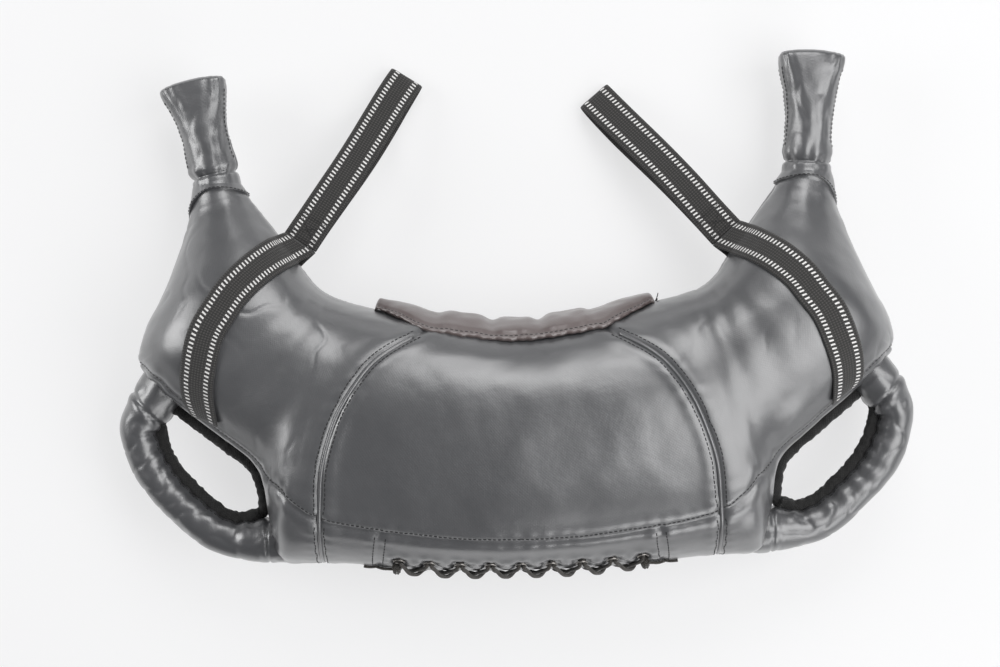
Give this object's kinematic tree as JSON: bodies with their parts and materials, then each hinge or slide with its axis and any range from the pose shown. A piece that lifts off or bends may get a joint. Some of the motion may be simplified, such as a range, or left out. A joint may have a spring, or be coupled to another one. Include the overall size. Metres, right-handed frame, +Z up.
{
  "type": "sandbag trainer",
  "caption": "Crescent-shaped sand-filled weight-training bag with end grips, side handles, webbing hand loops, a padded neck edge and a laced belly seam.",
  "frame": {"origin": "on the floor, under the middle of the box round the whole bag, lying face up", "axes": "+X along the bag's span to the right-hand arm, +Y from the laced belly towards the grips, +Z up from the back panel to the front panel"},
  "size_m": [0.707, 0.4602, 0.15],
  "materials": {
    "leatherette": "semi-gloss fine-embossed dark grey leatherette",
    "brown_leatherette": "matte brown leatherette over padding",
    "webbing": "ribbed charcoal webbing with light stitching",
    "binding": "matte black binding tape",
    "cord": "matte braided cord",
    "eyelet_metal": "darkened metal",
    "filler": "canvas bag of sand and crumb",
    "foam": "soft stuffing"
  },
  "bodies": {
    "bag": {"centre_filler_bag": "filler", "front_centre_panel": "leatherette", "back_centre_panel": "leatherette", "upper_lacing_flap": "leatherette", "lower_lacing_flap": "leatherette", "neck_pad": "brown_leatherette", "lace": "cord", "upper_eyelet_1": "eyelet_metal", "lower_eyelet_1": "eyelet_metal", "upper_eyelet_2": "eyelet_metal", "lower_eyelet_2": "eyelet_metal", "upper_eyelet_3": "eyelet_metal", "lower_eyelet_3": "eyelet_metal", "upper_eyelet_4": "eyelet_metal", "lower_eyelet_4": "eyelet_metal", "upper_eyelet_5": "eyelet_metal", "lower_eyelet_5": "eyelet_metal", "upper_eyelet_6": "eyelet_metal", "lower_eyelet_6": "eyelet_metal", "upper_eyelet_7": "eyelet_metal", "lower_eyelet_7": "eyelet_metal", "upper_eyelet_8": "eyelet_metal", "lower_eyelet_8": "eyelet_metal", "upper_eyelet_9": "eyelet_metal", "lower_eyelet_9": "eyelet_metal", "left_filler_bag": "filler", "left_front_arm_panel": "leatherette", "left_back_arm_panel": "leatherette", "left_belly_gusset": "leatherette", "left_arm_gusset": "leatherette", "left_piping": "leatherette", "left_neck_cuff": "leatherette", "left_lace_knot": "cord", "left_front_strap": "webbing", "left_back_strap": "webbing", "left_hole_binding": "binding", "right_filler_bag": "filler", "right_front_arm_panel": "leatherette", "right_back_arm_panel": "leatherette", "right_belly_gusset": "leatherette", "right_arm_gusset": "leatherette", "right_piping": "leatherette", "right_neck_cuff": "leatherette", "right_lace_knot": "cord", "right_front_strap": "webbing", "right_back_strap": "webbing", "right_hole_binding": "binding"},
    "left_loop": {"left_strap_loop": "webbing"},
    "left_grip": {"left_grip_sleeve": "leatherette", "left_grip_core": "foam"},
    "left_handle": {"left_handle_sleeve": "leatherette", "left_handle_core": "foam", "left_handle_binding": "binding"},
    "right_loop": {"right_strap_loop": "webbing"},
    "right_grip": {"right_grip_sleeve": "leatherette", "right_grip_core": "foam"},
    "right_handle": {"right_handle_sleeve": "leatherette", "right_handle_core": "foam", "right_handle_binding": "binding"}
  },
  "joints": [
    {"name": "left_loop_hinge", "type": "hinge", "parent": "bag", "child": "left_loop", "pos_m": [-0.18952, 0.06943, 0.058], "axis": [0.8387, -0.5446, 0], "range_deg": [-40, 80]},
    {"name": "left_grip_hinge", "type": "hinge", "parent": "bag", "child": "left_grip", "pos_m": [-0.26503, 0.12248, 0.04403], "axis": [0.9781, 0.2079, 0], "range_deg": [-22, 22], "stiffness_Nm_per_rad": 5},
    {"name": "left_handle_hinge", "type": "hinge", "parent": "bag", "child": "left_handle", "pos_m": [-0.2839, -0.13006, 0.054], "axis": [-0.6046, 0.7966, 0], "range_deg": [-30, 30], "stiffness_Nm_per_rad": 0.8},
    {"name": "right_loop_hinge", "type": "hinge", "parent": "bag", "child": "right_loop", "pos_m": [0.18952, 0.06943, 0.058], "axis": [0.766, 0.6428, 0], "range_deg": [-40, 80]},
    {"name": "right_grip_hinge", "type": "hinge", "parent": "bag", "child": "right_grip", "pos_m": [0.26503, 0.12248, 0.04403], "axis": [0.9976, -0.0698, 0], "range_deg": [-22, 22], "stiffness_Nm_per_rad": 5},
    {"name": "right_handle_hinge", "type": "hinge", "parent": "bag", "child": "right_handle", "pos_m": [0.2839, -0.13006, 0.054], "axis": [-0.6046, -0.7966, 0], "range_deg": [-30, 30], "stiffness_Nm_per_rad": 0.8}
  ]
}
